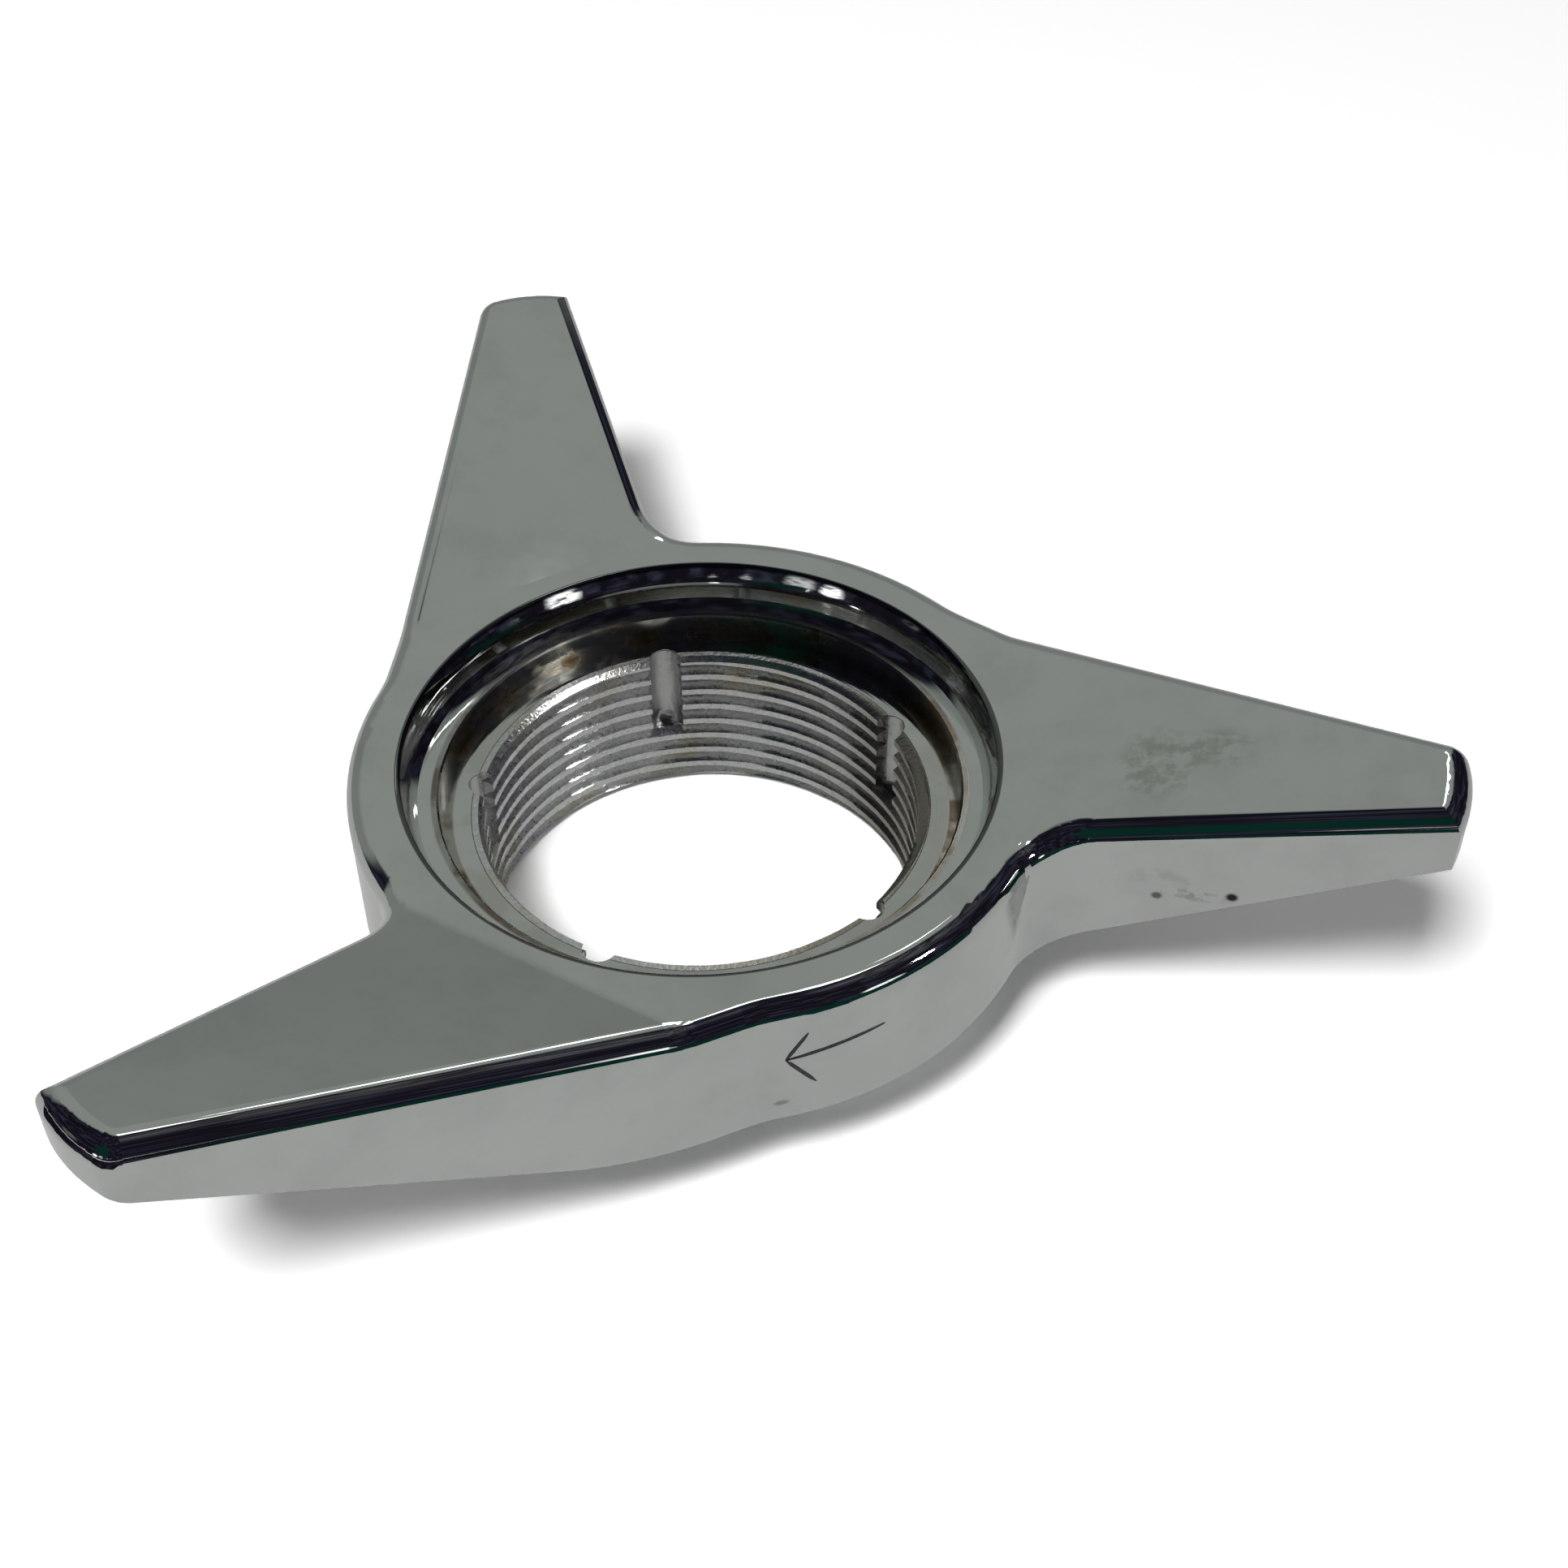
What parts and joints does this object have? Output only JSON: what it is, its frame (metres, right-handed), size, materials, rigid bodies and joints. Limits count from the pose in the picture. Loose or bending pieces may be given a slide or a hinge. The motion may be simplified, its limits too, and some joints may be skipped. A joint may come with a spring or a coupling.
{
  "type": "wire wheel spinner",
  "caption": "Three-winged plated knock-off nut for a wire wheel, with a stepped round recess, a threaded through bore and a tapered seat behind the hub.",
  "frame": {"origin": "on the bore axis, at the end of the tapered seat, which is the surface that the spinner stands on", "axes": "+Z along the bore axis, out of the recess on the outer face; +X along the middle of one wing"},
  "size_m": [0.1132, 0.1296, 0.0344],
  "materials": {
    "plated_casting": "polished plating over a casting, bare and grainy in the bore"
  },
  "bodies": {
    "root": {"spinner": "plated_casting"}
  },
  "joints": []
}
